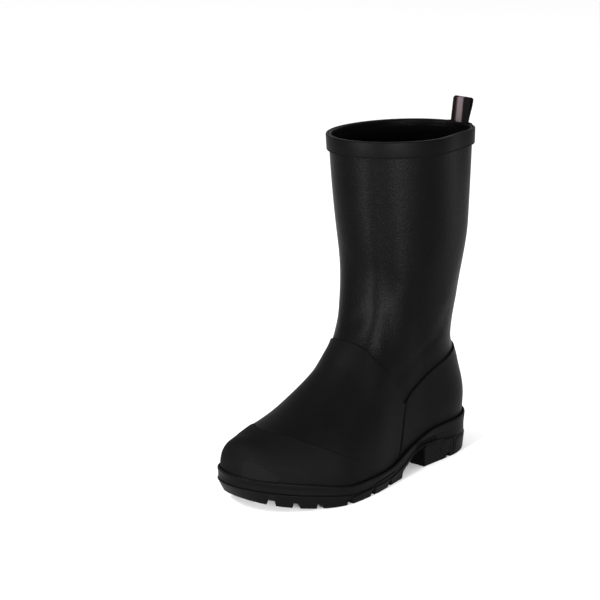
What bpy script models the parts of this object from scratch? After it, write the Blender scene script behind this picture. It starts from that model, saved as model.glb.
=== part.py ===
"""Rubber boot for the left foot, standing empty on its sole.

Metres, +Z up, the toe points toward -Y and the foot's outer side is +X.
The upper's outer face comes from one function of the side view: at each place along the foot and
each height it gives the squared half-width, from a foot (plan half-widths and ridge heights along
the last) joined to a shaft (back, front and half-widths over the height) with a soft fillet at the
throat. Every other piece is worked out from the same function and follows the upper.
"""
import bpy
import numpy as np
from mathutils import Matrix

# Named sizes
FOOT = 0.270            # length of the last, heel to toe
HEIGHT = 0.311          # floor to rim
BALL = 0.105            # foot width at the ball
INSTEP = 0.108          # ridge height over the sole, at the ankle
SIDE = 0.0365           # height of the sole's side at the back of the heel
COLLAR = 0.104          # shaft width at the rim
SWING = 0.011           # the toe's bend toward the inner side
SWING_START = 0.4       # share of FOOT where the toe's bend begins
SHAFT_TURN = 0.0075     # the rim's turn: the back goes outward, the front inward
TURN_START = 0.45       # share of HEIGHT where that turn begins
RIM_SHIFT = 0.0015      # the rim's middle lies this much toward the inner side
THROAT = 0.051          # softness of the fillet between foot and shaft
THROAT_LEAST = 0.15     # share of that softness left behind the ankle
THROAT_PLACE = 0.33     # share of FOOT where the softness sets in
THROAT_RUN = 0.037      # over this share of FOOT
THROAT_HEIGHT = 0.412   # share of HEIGHT where the foot's ridge meets the shaft
FULLNESS = 2.3          # how square the foot's cross-sections are
SIDE_BLEND = 0.008      # sideways distance over which outer and inner half-widths blend
END_CLOSE = 0.06        # how fast the foot's plan closes beyond heel and toe, metres
LEAST_HALF = 0.005      # half-width below which the foot's sections no longer get flatter
DENT = 0.17             # how much the shaft's outer side is flatter behind its middle, at the rim
DENT_PLACE = -0.45      # where: share of the half length from the shaft's middle, forward
DENT_REACH = 0.42       # how far it reaches, in shares of the half length
DENT_START = 0.5        # share of HEIGHT where it begins
SHAFT_MIDDLE = 0.25     # share of FOOT where the shaft's middle stands
SPINE_FOOT = 0.50       # share of FOOT where the spine of the skin's rays stands at the sole
SPINE_BACK = 0.298      # it moves back by this share up to the throat
SPINE_FORWARD = 0.048   # and forward again by this share up to the rim
ANKLE_DROP = 0.008      # the throat's level at the back lies this much lower than in front
RAY_FAR = 2.4           # how far the rays are followed, in their own reach
RAY_WIDE = 0.45         # share of BALL: sideways reach of the rays that find the skin
RAY_LONG = 0.24         # share of FOOT: their reach along the foot, at the rim
WALL = 0.0024           # rubber wall of the upper
GAP = 0.0003            # between neighbouring pieces
SEAM = 0.0002           # trimmed off each plate's edge
UNDER = 0.0006          # under the lower edges of upper and plates
PLATE = 0.0013          # thickness of vamp and heel counter
CAP = 0.0018            # thickness of the toe cap
BAND = 0.0022           # thickness of the collar band
BAND_HEIGHT = 0.0145
WELT = 0.0045           # the sole's side beyond the upper's outer face
BEAD = 0.0032           # height of the sole's lip over the seat of the upper
STEP = 0.0007           # the sole's side is set back this much under its lip
EDGE = 0.0008           # small rounded edges
INSOLE = 0.0040
INSOLE_FIT = 0.0010     # between the insole's edge and the upper's wall
LOOP_WIDTH = 0.0205
LOOP_RISE = 0.0235      # loop above the rim
LOOP_OPEN = 0.0045      # between the loop's legs at their widest
WEB = 0.0010            # thickness of the loop's webbing
TUCK = 0.0100           # loop below the rim, behind the band
LOOP_LEAN = 6           # degrees by which the loop leans back
TREAD = 0.0045          # depth of the forefoot lugs
HOLLOW = 0.0090         # depth of the hollow in the heel block
HEEL_BLOCK = 0.0735     # length of the heel block
RIM_LUG = 0.0175        # width of the lugs along the sole's edge
NOTCH = 0.0050          # width of the notches between lugs
BAR = 0.0060            # width of the tread bars under the forefoot
SPRING = 0.0100         # toe spring
SLOPE = 0.0012          # run of the steep faces at lugs and heel breast
TOE_ROCKER = 0.0065     # the sole's lower edge draws in by this much at the toe
DRAFT = 0.0012          # and by this much elsewhere

# Foot: share of FOOT, half-widths of outer and inner side (of BALL), ridge height (of INSTEP)
FOOT_TABLE = (
    ("share", "outer", "inner", "ridge"),
    (0.00, 0.095, 0.095, 0.46),
    (0.08, 0.257, 0.257, 0.69),
    (0.20, 0.319, 0.314, 1.00),
    (0.33, 0.367, 0.324, 1.20),
    (0.45, 0.424, 0.357, 1.24),
    (0.58, 0.500, 0.419, 0.85),
    (0.70, 0.533, 0.467, 0.61),
    (0.82, 0.452, 0.448, 0.41),
    (0.91, 0.343, 0.357, 0.30),
    (0.97, 0.219, 0.233, 0.245),
    (1.00, 0.000, 0.000, 0.11),
)
# Top line of the sole's side: share of FOOT, height (of SIDE)
SOLE_TOP = (
    ("share", "height"),
    (0.00, 1.00),
    (0.20, 0.97),
    (0.35, 0.74),
    (0.50, 0.46),
    (0.68, 0.47),
    (0.85, 0.685),
    (1.00, 0.88),
)
# Shaft: share of HEIGHT, back and front (of FOOT), half-widths (of COLLAR), squareness
SHAFT_TABLE = (
    ("share", "back", "front", "outer", "inner", "square"),
    (0.11, -0.024, 0.346, 0.341, 0.317, 2.5),
    (0.19, -0.019, 0.359, 0.370, 0.337, 2.4),
    (0.29, 0.013, 0.393, 0.365, 0.356, 2.3),
    (0.385, 0.048, 0.430, 0.380, 0.370, 2.2),
    (0.515, 0.026, 0.465, 0.418, 0.413, 2.2),
    (0.72, -0.011, 0.494, 0.466, 0.471, 2.1),
    (1.00, -0.011, 0.515, 0.495, 0.510, 2.05),
)
# Upper edge of vamp and counter: turn from the toe (share of half a round), height (of HEIGHT)
PLATE_TOP = (
    ("share", "height"),
    (0.00, 0.414),
    (0.07, 0.410),
    (0.12, 0.399),
    (0.18, 0.374),
    (0.24, 0.345),
    (0.30, 0.317),
    (0.38, 0.272),
    (0.461, 0.226),
    (0.48, 0.250),
    (0.51, 0.268),
    (0.54, 0.285),
    (0.60, 0.311),
    (0.68, 0.330),
    (0.80, 0.338),
    (1.00, 0.342),
)
# Rear edge of the toe cap: turn from the toe (share of half a round), share of the foot's rise
CAP_EDGE = (
    ("share", "rise"),
    (0.00, 0.163),
    (0.12, 0.163),
    (0.18, 0.153),
    (0.25, 0.138),
    (0.31, 0.112),
    (0.36, 0.082),
    (0.39, 0.060),
)
# The sole's side line, between midsole and outsole: share of FOOT, height (of SIDE)
SIDE_LINE = (
    ("share", "height"),
    (0.00, 0.43),
    (0.10, 0.52),
    (0.20, 0.62),
    (0.28, 0.65),
    (0.33, 0.585),
    (0.41, 0.35),
    (0.50, 0.22),
    (0.62, 0.22),
    (0.85, 0.41),
    (1.00, 0.61),
)
# Lowest line of the sole: share of FOOT, height (of SIDE, or of SPRING in front)
ARCH = (
    ("share", "height"),
    (0.29, 0.52),
    (0.33, 0.48),
    (0.37, 0.32),
    (0.41, 0.16),
)
BALL_BACK = 0.415       # share of FOOT where the forefoot's tread begins
BALL_FRONT = 0.74       # share of FOOT where the toe spring begins
# Notches in the sole's edge, shares of FOOT
NOTCHES = (0.14, 0.50, 0.60, 0.71, 0.81, 0.88, 0.945)
TREAD_BARS = (0.55, 0.655, 0.76, 0.845)

SIDE_COLUMNS = (0, 7, 14, 21, 28, 35, 42, 48, 53, 57, 61, 64, 68, 75, 83, 91, 99, 107, 115, 123, 131, 140,
                149, 157, 165, 172)
CAP_COLUMN = 68         # degrees from the toe where the cap ends
COUNTER_COLUMN = 83     # degrees from the toe where vamp and counter meet
LEAN = 15               # degrees by which that meeting line leans forward at the sole
LEAN_WIDE = 24          # degrees beside it over which its neighbours lean as well
CAP_FADE = 0.25         # share of half a round over which the cap's rows ease into the others
LEVEL_SEAT = 0.03       # share of the rise at the seat, and at the rim, where offsets turn level
LEVEL_RIM = 0.05
CAP_ROWS = 4
FOOT_ROWS = 12
SHAFT_ROWS = 10
SHAFT_CROWD = 0.92      # power that spaces the shaft's rows
BAND_COLUMNS = 76
BAND_CROWD = 0.45       # how much closer the band's columns stand at the back
SOLE_STATIONS = 36


def column(table, name):
    """Keys and values of one named column of a table."""
    at = table[0].index(name)
    return np.array([row[0] for row in table[1:]]), np.array([row[at] for row in table[1:]])


def hermite(x, keys, values):
    """Smooth curve through points that never overshoots them: cubic pieces with limited slopes."""
    run = np.diff(keys)
    rise = np.diff(values) / run
    slope = np.zeros(len(keys))
    both = rise[:-1] * rise[1:] > 0
    after = 2 * run[1:] + run[:-1]
    before = run[1:] + 2 * run[:-1]
    a = rise[:-1][both]
    b = rise[1:][both]
    slope[1:-1][both] = (after + before)[both] / (after[both] / a + before[both] / b)
    slope[0] = rise[0]
    slope[-1] = rise[-1]
    x = np.clip(x, keys[0], keys[-1])
    i = np.clip(np.searchsorted(keys, x, side="right") - 1, 0, len(run) - 1)
    t = (x - keys[i]) / run[i]
    start = (1 + 2 * t) * (1 - t) ** 2 * values[i] + t * (1 - t) ** 2 * run[i] * slope[i]
    end = t * t * (3 - 2 * t) * values[i + 1] + t * t * (t - 1) * run[i] * slope[i + 1]
    return start + end


def follow(table, name, share, power=1):
    """Value of a table's column at a share; power 2 smooths the square, which closes round ends."""
    keys, values = column(table, name)
    return hermite(share, keys, values ** power)


def sole_top(s):
    """Height of the sole's top line at distance s from the heel."""
    return SIDE * follow(SOLE_TOP, "height", s / FOOT)


def seat(s):
    """Height where the upper's lower edge sits, below the sole's lip."""
    return sole_top(s) - BEAD


def middle(s, z):
    """Sideways place of the boot's middle: the toe swings inward, the rim is turned."""
    toe = np.clip(s / FOOT - SWING_START, 0, None) / (1 - SWING_START)
    high = np.clip((z / HEIGHT - TURN_START) / (1 - TURN_START), 0, 1)
    rise = high * high * (3 - 2 * high)
    shaft = 0.5 * (follow(SHAFT_TABLE, "back", 1.0) + follow(SHAFT_TABLE, "front", 1.0))
    turned = SHAFT_TURN * (s / FOOT - shaft) / shaft
    return -SWING * toe ** 2 - (turned + RIM_SHIFT) * rise


def half_area(s, z, outer):
    """Squared half-width at (s, z), negative outside; outer is 1 on the outer side and 0 inside."""
    share = s / FOOT
    plan = (follow(FOOT_TABLE, "outer", share, 2) * outer
            + follow(FOOT_TABLE, "inner", share, 2) * (1 - outer)) * BALL ** 2
    beyond = np.clip(s - FOOT, 0, None) + np.clip(-s, 0, None)
    plan = plan - END_CLOSE * beyond
    ridge = INSTEP * follow(FOOT_TABLE, "ridge", share)
    up = np.clip(z - sole_top(s), 0, None) / ridge
    foot = plan - np.clip(plan, LEAST_HALF ** 2, None) * up ** FULLNESS
    level = np.clip(z / HEIGHT, SHAFT_TABLE[1][0], 1.0)
    back = FOOT * follow(SHAFT_TABLE, "back", level)
    front = FOOT * follow(SHAFT_TABLE, "front", level)
    along = (s - (back + front) / 2) / ((front - back) / 2)
    wide = COLLAR * (follow(SHAFT_TABLE, "outer", level) * outer
                     + follow(SHAFT_TABLE, "inner", level) * (1 - outer))
    high = np.clip((z / HEIGHT - DENT_START) / (1 - DENT_START), 0, 1)
    wide = wide * (1 - DENT * outer * high * np.exp(-((along - DENT_PLACE) / DENT_REACH) ** 2))
    shaft = wide ** 2 * (1 - np.abs(along) ** follow(SHAFT_TABLE, "square", level))
    ahead = 1 / (1 + np.exp(-(share - THROAT_PLACE) / THROAT_RUN))
    soft = THROAT ** 2 * (THROAT_LEAST + (1 - THROAT_LEAST) * ahead)
    blend = np.clip(0.5 + 0.5 * (foot - shaft) / soft, 0, 1)
    return foot * blend + shaft * (1 - blend) + soft * blend * (1 - blend)


def depth(s, x, z):
    """Positive inside the upper's outer face, zero on it."""
    off = x - middle(s, z)
    outer = 0.5 + 0.5 * np.tanh(off / SIDE_BLEND)
    return half_area(s, z, outer) - off ** 2


def cast(s, x, z, ds, dx, dz):
    """Where the ray from (s, x, z) along (ds, dx, dz) leaves the boot, by halving."""
    near = np.zeros(np.broadcast(s, x, z, ds, dx, dz).shape)
    far = near + RAY_FAR
    for _ in range(36):
        r = (near + far) / 2
        inside = depth(s + r * ds, x + r * dx, z + r * dz) > 0
        near = np.where(inside, r, near)
        far = np.where(inside, far, r)
    return s + near * ds, x + near * dx, z + near * dz


def skin(turn, rise):
    """Point (s, x, z) of the upper's outer face.

    turn runs round the boot in degrees, 0 at the toe and 90 on the outer side; rise runs from 0 at
    the sole's seat over 0.5 at the throat to 1 at the rim. Rays leave a spine that moves back from
    the middle of the foot to the middle of the shaft.
    """
    turn = np.radians(turn)
    low = np.clip(rise / 0.5, 0, 1)
    high = np.clip((rise - 0.5) / 0.5, 0, 1)
    throat = THROAT_HEIGHT * HEIGHT
    back = low * (throat - ANKLE_DROP) + high * (HEIGHT - throat + ANKLE_DROP)
    front = throat * low ** 0.9 + high * (HEIGHT - throat)
    spine = FOOT * (SPINE_FOOT - SPINE_BACK * low ** 0.8 + SPINE_FORWARD * high)
    reach = FOOT * (SPINE_FOOT + (RAY_LONG - SPINE_FOOT) * low)
    tilt = (front - back) / (2 * reach)
    ds = reach * np.cos(turn)
    dx = RAY_WIDE * BALL * np.sin(turn)
    near = np.zeros(np.broadcast(turn, rise).shape)
    far = near + RAY_FAR
    for _ in range(36):
        r = (near + far) / 2
        s = spine + r * ds
        z = (back + front) / 2 + r * ds * tilt + seat(s) * (1 - low)
        x = middle(s, z) + r * dx
        inside = depth(s, x, z) > 0
        near = np.where(inside, r, near)
        far = np.where(inside, far, r)
    return s, x, z


def outward(s, x, z):
    """Unit normal of the outer face at (s, x, z), by central differences."""
    h = 0.0004
    a = depth(s - h, x, z) - depth(s + h, x, z)
    b = depth(s, x - h, z) - depth(s, x + h, z)
    c = depth(s, x, z - h) - depth(s, x, z + h)
    size = np.sqrt(a * a + b * b + c * c)
    return a / size, b / size, c / size


def place(s, x, z):
    """Points (s, x, z) as rows of X, Y, Z."""
    return np.stack(np.broadcast_arrays(x, -s, z), -1)


def offset_skin(turn, rise, off):
    """The outer face moved out by off, level at the seat and at the rim."""
    s, x, z = skin(turn, rise)
    a, b, c = outward(s, x, z)
    level = np.clip(np.minimum(rise / LEVEL_SEAT, (1 - rise) / LEVEL_RIM), 0, 1)
    c = c * level
    flat = np.sqrt(a * a + b * b + c * c)
    return place(s + off * a / flat, x + off * b / flat, z + off * c / flat)


def find_rise(turn, height):
    """The rise at which the skin reaches a height, for each turn."""
    low = np.zeros(np.shape(turn))
    top = low + 1
    for _ in range(30):
        mid = (low + top) / 2
        under = skin(turn, mid)[2] < height
        low = np.where(under, mid, low)
        top = np.where(under, top, mid)
    return (low + top) / 2


def master_grid():
    """The shared grid of upper and plates: its columns' turns, then turn and rise of each point."""
    half = np.array(SIDE_COLUMNS, float)
    turns = np.concatenate([half, [180.0], -half[:0:-1]])
    share = np.abs(turns) / 180
    edge = find_rise(turns, HEIGHT * follow(PLATE_TOP, "height", share))
    cap_share = CAP_COLUMN / 180
    end = follow(CAP_EDGE, "rise", cap_share)
    floor = end * edge / edge[half.tolist().index(CAP_COLUMN)]
    fade = np.clip((share - cap_share) / CAP_FADE, 0, 1)
    cap = np.where(share <= cap_share, follow(CAP_EDGE, "rise", share), floor + fade * (edge / 3 - floor))
    low = np.linspace(0, 1, CAP_ROWS + 1)[:, None] * cap
    mid = cap + np.linspace(0, 1, FOOT_ROWS - CAP_ROWS + 1)[1:, None] * (edge - cap)
    high = edge + np.linspace(0, 1, SHAFT_ROWS + 1)[1:, None] ** SHAFT_CROWD * (1 - edge)
    rises = np.concatenate([low, mid, high])
    near = np.exp(-((np.abs(turns) - COUNTER_COLUMN) / LEAN_WIDE) ** 2)
    down = np.clip(1 - rises / edge, 0, 1)
    leaned = turns + np.sign(turns) * LEAN * near * down * (np.abs(turns) < 179)
    return turns, leaned, rises


def mesh_object(name, points, faces, colour, roughness=0.5):
    """A smooth-shaded object from points and faces, with its own material."""
    mesh = bpy.data.meshes.new(name)
    mesh.from_pydata([tuple(p) for p in points], [], faces)
    mesh.update()
    obj = bpy.data.objects.new(name, mesh)
    parts.objects.link(obj)
    material = bpy.data.materials.new(name)
    material.use_nodes = True
    shader = material.node_tree.nodes["Principled BSDF"]
    shader.inputs["Base Color"].default_value = (*colour, 1)
    shader.inputs["Roughness"].default_value = roughness
    shader.inputs["Metallic"].default_value = 0.0
    mesh.materials.append(material)
    mesh.shade_smooth()
    mesh.set_sharp_from_angle(angle=np.radians(40))
    return obj


def thicken(obj, thickness, side):
    """Solidify an open surface: side 1 grows outward, -1 inward, 0 both ways."""
    shell = obj.modifiers.new("wall", "SOLIDIFY")
    shell.thickness = thickness
    shell.offset = side
    shell.use_even_offset = True
    return obj


def grid_faces(rows, columns, closed):
    """Quads of a grid of points, counter-clockwise from outside for rising rows."""
    count = columns if closed else columns - 1
    faces = []
    for j in range(rows - 1):
        for i in range(count):
            k = (i + 1) % columns
            faces.append((j * columns + i, j * columns + k, (j + 1) * columns + k, (j + 1) * columns + i))
    return faces


def upper_plate(name, keep, colour):
    """A sheet over part of the shared grid; keep(row, column turn) tells which cells it covers."""
    rows, columns = RISES.shape
    points = offset_skin(TURNS, RISES, GAP)
    cells = [(j, i) for j in range(rows - 1) for i in range(columns) if keep(j, i)]
    uses = {}
    for j, i in cells:
        k = (i + 1) % columns
        centre = (points[j, i] + points[j, k] + points[j + 1, k] + points[j + 1, i]) / 4
        for corner in ((j, i), (j, k), (j + 1, k), (j + 1, i)):
            uses.setdefault(corner, []).append(centre)
    order = {corner: n for n, corner in enumerate(uses)}
    moved = []
    for corner, centres in uses.items():
        point = points[corner]
        if len(centres) < 4:
            pull = np.mean(centres, axis=0) - point
            point = point + pull / np.linalg.norm(pull) * SEAM * (1.4 if len(centres) == 1 else 1.0)
        moved.append(point)
    faces = []
    for j, i in cells:
        k = (i + 1) % columns
        faces.append((order[j, i], order[j, k], order[j + 1, k], order[j + 1, i]))
    return mesh_object(name, moved, faces, colour)


def edge_line(turn):
    """The boot's outline at the sole's seat: s, x and the level outward direction."""
    s, x, z = skin(turn, np.zeros(np.shape(turn)))
    a, b, c = outward(s, x, z)
    flat = np.sqrt(a * a + b * b)
    return s, x, a / flat, b / flat


def sole_line(steps):
    """The sole's outline at stations along the foot, in pairs on both sides; steps are stations to add."""
    ends = 0.5 - 0.5 * np.cos(np.linspace(0, np.pi, SOLE_STATIONS))
    smooth = edge_low + (edge_high - edge_low) * ends[1:-1]
    steps = np.array(steps)
    free = [s for s in smooth if len(steps) == 0 or np.min(np.abs(steps - s)) > 2 * SLOPE]
    stations = np.array(sorted(free + list(steps)))
    outer_turns = np.interp(stations[::-1], outer_s[::-1], scan[::-1])
    inner_turns = -np.interp(stations, inner_s[::-1], scan[::-1])
    return edge_line(np.concatenate([[0.0], outer_turns, [180.0], inner_turns]))


def tread_steps():
    """Stations of the outsole's steps: heel breast, start of the forefoot and both slopes of each notch."""
    steps = [HEEL_BLOCK, HEEL_BLOCK + SLOPE, BALL_BACK * FOOT - SLOPE, BALL_BACK * FOOT]
    for share in NOTCHES:
        for side in (-1, 1):
            edge = share * FOOT + side * NOTCH / 2
            steps += [edge - SLOPE / 2, edge + SLOPE / 2]
    return steps


def lowest(s):
    """Height of the sole's lowest line, without notches."""
    share = s / FOOT
    arch = SIDE * follow(ARCH, "height", share)
    spring = SPRING * np.clip((share - BALL_FRONT) / (1 - BALL_FRONT), 0, 1.2) ** 1.8
    heel = np.clip((s - HEEL_BLOCK) / SLOPE, 0, 1)
    ball = np.clip((BALL_BACK * FOOT - s) / SLOPE, 0, 1)
    return np.where(share < BALL_BACK, arch * heel * ball, spring)


def notched(s):
    """1 inside a notch, 0 on a lug, with short slopes between."""
    inside = np.zeros(np.shape(s))
    for share in NOTCHES:
        away = np.abs(s - share * FOOT) - NOTCH / 2
        inside = np.maximum(inside, np.clip(0.5 - away / SLOPE, 0, 1))
    return inside


def loft_sole(name, line, profile, colour, roughness=0.6):
    """A solid whose rings run round the foot; profile(s) gives each ring's offset and height.

    A height is an array over the stations, or a function of the distance from the heel where the
    ring has to lie on a surface that another piece shares.
    The stations come in pairs, one on each side of the foot, so the top and bottom are closed with
    level strips between the two sides. The first and last rings of the profile carry those strips.
    """
    s, x, a, b = line
    count = len(s)
    rings = []
    for off, height in profile(s):
        at = s + off * a
        rings.append(place(at, x + off * b, height(at) if callable(height) else height))
    points = np.concatenate(rings)
    faces = [face[::-1] for face in grid_faces(len(rings), count, True)]
    half = count // 2
    for start, flip in ((0, False), ((len(rings) - 1) * count, True)):
        for i in range(half):
            left = start + i
            left_next = start + i + 1
            right = start + (count - i) % count
            right_next = start + count - i - 1
            corners = [left, left_next, right_next, right]
            corners = [c for n, c in enumerate(corners) if c not in corners[:n]]
            faces.append(tuple(corners if not flip else corners[::-1]))
    return mesh_object(name, points, faces, colour, roughness)


def side_line(s):
    """Height of the line between midsole and outsole."""
    return SIDE * follow(SIDE_LINE, "height", s / FOOT)


def outsole_top(s):
    """Height of the outsole's upper face, a gap under the midsole."""
    return side_line(s) - GAP


def midsole_profile(s):
    """Seat, groove for the upper's edge, rounded lip and side, from the inside out and down."""
    inner = PLATE_FIT
    top = sole_top(s)
    return (
        (-WALL - 2 * GAP, seat(s) - UNDER),
        (inner, seat(s) - UNDER),
        (inner, top - EDGE),
        (inner + EDGE, top),
        (WELT - EDGE, top),
        (WELT, top - EDGE),
        (WELT, top - BEAD + EDGE),
        (WELT - STEP, top - BEAD),
        (WELT - STEP, side_line),
        (WELT - STEP - RIM_LUG, side_line),
    )


def outsole_profile(s):
    """Level top, small ledge, side drawn in toward the floor, lugs along the edge, inner hollow."""
    top = outsole_top(s)
    share = s / FOOT
    low = lowest(s)
    on_heel = np.clip((HEEL_BLOCK + SLOPE - s) / SLOPE, 0, 1)
    on_ball = np.clip((share - BALL_BACK) * FOOT / SLOPE + 1, 0, 1)
    base = low + np.minimum(HOLLOW * on_heel + TREAD * on_ball + EDGE / 2, 0.7 * (top - low))
    cut = np.minimum(TREAD, 0.7 * (top - low))
    foot = low + cut * notched(s)
    toe = np.clip((share - BALL_FRONT) / (1 - BALL_FRONT), 0, 1.1) ** 2
    draw = DRAFT + (TOE_ROCKER - DRAFT) * toe
    height = top - foot
    return (
        (WELT - STEP - RIM_LUG, outsole_top),
        (WELT - STEP, outsole_top),
        (WELT, top - np.minimum(EDGE, 0.2 * height)),
        (WELT - draw, foot + np.minimum(EDGE, 0.2 * height)),
        (WELT - draw - EDGE, foot),
        (WELT - draw - RIM_LUG + SLOPE, np.minimum(foot, base - EDGE / 4)),
        (WELT - draw - RIM_LUG, base),
    )


def ring_object(name, offsets, colour):
    """A closed band round the shaft from (offset, height) pairs, bulged over the loop's legs."""
    even = np.radians(np.linspace(0, 360, BAND_COLUMNS, endpoint=False))
    turns = even + BAND_CROWD * np.sin(even)
    rings = []
    for off, z in offsets:
        start = FOOT * SHAFT_MIDDLE
        ds = RAY_LONG * FOOT * np.cos(turns)
        dx = RAY_WIDE * BALL * np.sin(turns)
        s, x, level = cast(start, middle(start, z), z, ds, dx, 0.0)
        a, b, c = outward(s, x, level)
        flat = np.sqrt(a * a + b * b)
        side = np.clip((np.abs(x - LOOP_X) - LOOP_WIDTH / 2 - 2 * GAP) / (4 * WEB), 0, 1)
        bulge = (2 * WEB + 2 * GAP) * (1 - side * side * (3 - 2 * side)) * (s < start)
        rings.append(place(s + (off + bulge) * a / flat, x + (off + bulge) * b / flat, level))
    rings.append(rings[0])
    points = np.concatenate(rings[:-1])
    count = len(turns)
    faces = []
    for j in range(len(rings) - 1):
        for i in range(count):
            k = (i + 1) % count
            n = (j + 1) % (len(rings) - 1)
            faces.append((j * count + i, j * count + k, n * count + k, n * count + i))
    return mesh_object(name, points, faces, colour)


def back_face(x, z):
    """Distance from the heel at which the upper's back face stands at a side place and height."""
    return cast(FOOT * SHAFT_MIDDLE, x, z, -RAY_LONG * FOOT, 0.0, 0.0)[0]


def loop_object(name, colour):
    """Webbing folded over: two legs behind the upper's rim, opening to a rounded top."""
    across = np.linspace(-0.5, 0.5, 5) * LOOP_WIDTH
    base = HEIGHT - TUCK
    straight = LOOP_RISE + TUCK - LOOP_OPEN / 2 - WEB
    legs = np.linspace(0, 1, 8)
    swell = np.clip((legs * straight - TUCK) / (straight - TUCK), 0, 1)
    swell = swell * swell * (3 - 2 * swell)
    near = GAP + WEB / 2 + 0 * legs
    far = near + WEB + GAP + swell * (LOOP_OPEN - WEB - GAP)
    arc = np.linspace(0, np.pi, 8)[1:-1]
    mid = (near[-1] + far[-1]) / 2
    radius = (far[-1] - near[-1]) / 2
    behind = np.concatenate([near, mid - radius * np.cos(arc), far[::-1]])
    height = base + np.concatenate([legs * straight, straight + radius * np.sin(arc), legs[::-1] * straight])
    lean = np.clip(height - HEIGHT, 0, None) * np.tan(np.radians(LOOP_LEAN))
    x = LOOP_X + across
    rows = []
    for away, z, back in zip(behind, height, lean):
        wall = back_face(x, min(z, HEIGHT))
        flat = np.clip((z - HEIGHT) / LOOP_RISE, 0, 1)
        wall = wall * (1 - 0.7 * flat) + 0.7 * flat * np.mean(wall)
        rows.append(place(wall - away - back, x, z + 0 * x))
    points = np.concatenate(rows)
    faces = [tuple(reversed(f)) for f in grid_faces(len(rows), len(across), False)]
    obj = mesh_object(name, points, faces, colour, 0.8)
    return thicken(obj, WEB, 0)


def tread_bar(share):
    """A straight bar across the hollow under the forefoot, to be joined to the outsole."""
    s = share * FOOT
    low = lowest(np.array([s]))[0]
    half = len(TREAD_LINE[0]) // 2
    along = np.append(TREAD_LINE[0], TREAD_LINE[0][0])
    side = np.append(TREAD_LINE[1], TREAD_LINE[1][0])
    outer = np.interp(s, along[half::-1], side[half::-1])
    inner = np.interp(s, along[half:], side[half:])
    reach = RIM_LUG - WELT + TREAD / 2
    width = outer - inner - 2 * (reach + TREAD)
    bpy.ops.mesh.primitive_cube_add(size=1, location=((outer + inner) / 2, -s, low + TREAD / 2 + EDGE / 2 + SLOPE / 2))
    bar = bpy.context.object
    bar.scale = (width, BAR, TREAD + SLOPE)
    bpy.ops.object.transform_apply(location=False, rotation=False, scale=True)
    bar.name = "bar"
    for owner in bar.users_collection:
        owner.objects.unlink(bar)
    cutters.objects.link(bar)
    bar.hide_render = True
    bar.display_type = "WIRE"
    return bar


for old in list(bpy.data.objects):
    bpy.data.objects.remove(old, do_unlink=True)
parts = bpy.data.collections.new("rubber_boot")
bpy.context.scene.collection.children.link(parts)
cutters = bpy.data.collections.new("cutters")
bpy.context.scene.collection.children.link(cutters)

RUBBER = (0.018, 0.018, 0.019)
MATTE = (0.022, 0.022, 0.023)
SOLE_RUBBER = (0.025, 0.025, 0.026)
LINING = (0.006, 0.006, 0.006)
WEBBING = (0.012, 0.012, 0.013)

PLATE_FIT = CAP + 3 * GAP
LOOP_X = float(skin(np.array([180.0]), np.array([1.0]))[1][0])
DEGREES, TURNS, RISES = master_grid()
ROWS, COLUMNS = RISES.shape

upper_points = offset_skin(TURNS, RISES, 0.0).reshape(-1, 3)
upper = mesh_object("upper", upper_points, grid_faces(ROWS, COLUMNS, True), RUBBER, 0.42)
thicken(upper, WALL, -1)


def column_turn(i):
    """Middle turn of the cells between column i and the next, from -180 to 180."""
    here = DEGREES[i]
    there = DEGREES[(i + 1) % COLUMNS]
    if abs(there - here) > 180:
        there += 360 if there < here else -360
    middle_of = (here + there) / 2
    return (middle_of + 180) % 360 - 180


def in_cap(j, i):
    return j < CAP_ROWS and abs(column_turn(i)) < CAP_COLUMN


def in_vamp(j, i):
    return j < FOOT_ROWS and abs(column_turn(i)) < COUNTER_COLUMN and not in_cap(j, i)


def in_counter(j, i):
    return j < FOOT_ROWS and abs(column_turn(i)) > COUNTER_COLUMN


thicken(upper_plate("vamp", in_vamp, MATTE), PLATE, 1)
thicken(upper_plate("toe_cap", in_cap, MATTE), CAP, 1)
thicken(upper_plate("heel_counter", in_counter, MATTE), PLATE, 1)

low_rim = HEIGHT - BAND_HEIGHT
ring_object("collar_band", (
    (GAP, low_rim),
    (GAP + BAND - EDGE, low_rim),
    (GAP + BAND, low_rim + EDGE),
    (GAP + BAND, HEIGHT - EDGE),
    (GAP + BAND - EDGE, HEIGHT),
    (GAP, HEIGHT),
), RUBBER)

loop_object("pull_loop", WEBBING)

scan = np.linspace(0, 180, 721)
outer_s = skin(scan, 0 * scan)[0]
inner_s = skin(-scan, 0 * scan)[0]
edge_high = min(outer_s[0], inner_s[0])
edge_low = max(outer_s[-1], inner_s[-1])
SOLE_LINE = sole_line([])
TREAD_LINE = sole_line(tread_steps())

loft_sole("midsole", SOLE_LINE, midsole_profile, SOLE_RUBBER)
outsole = loft_sole("outsole", TREAD_LINE, outsole_profile, SOLE_RUBBER)
for place_share in TREAD_BARS:
    join = outsole.modifiers.new("bar", "BOOLEAN")
    join.operation = "UNION"
    join.object = tread_bar(place_share)
    join.solver = "EXACT"


def insole_profile(s):
    """The insole lies inside the upper, a gap off the wall and the seat."""
    off = -WALL - INSOLE_FIT
    low = seat(s) - UNDER + GAP
    return ((off - EDGE, low + INSOLE), (off, low + INSOLE - EDGE), (off, low))


loft_sole("insole", SOLE_LINE, insole_profile, LINING, 0.9)

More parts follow.
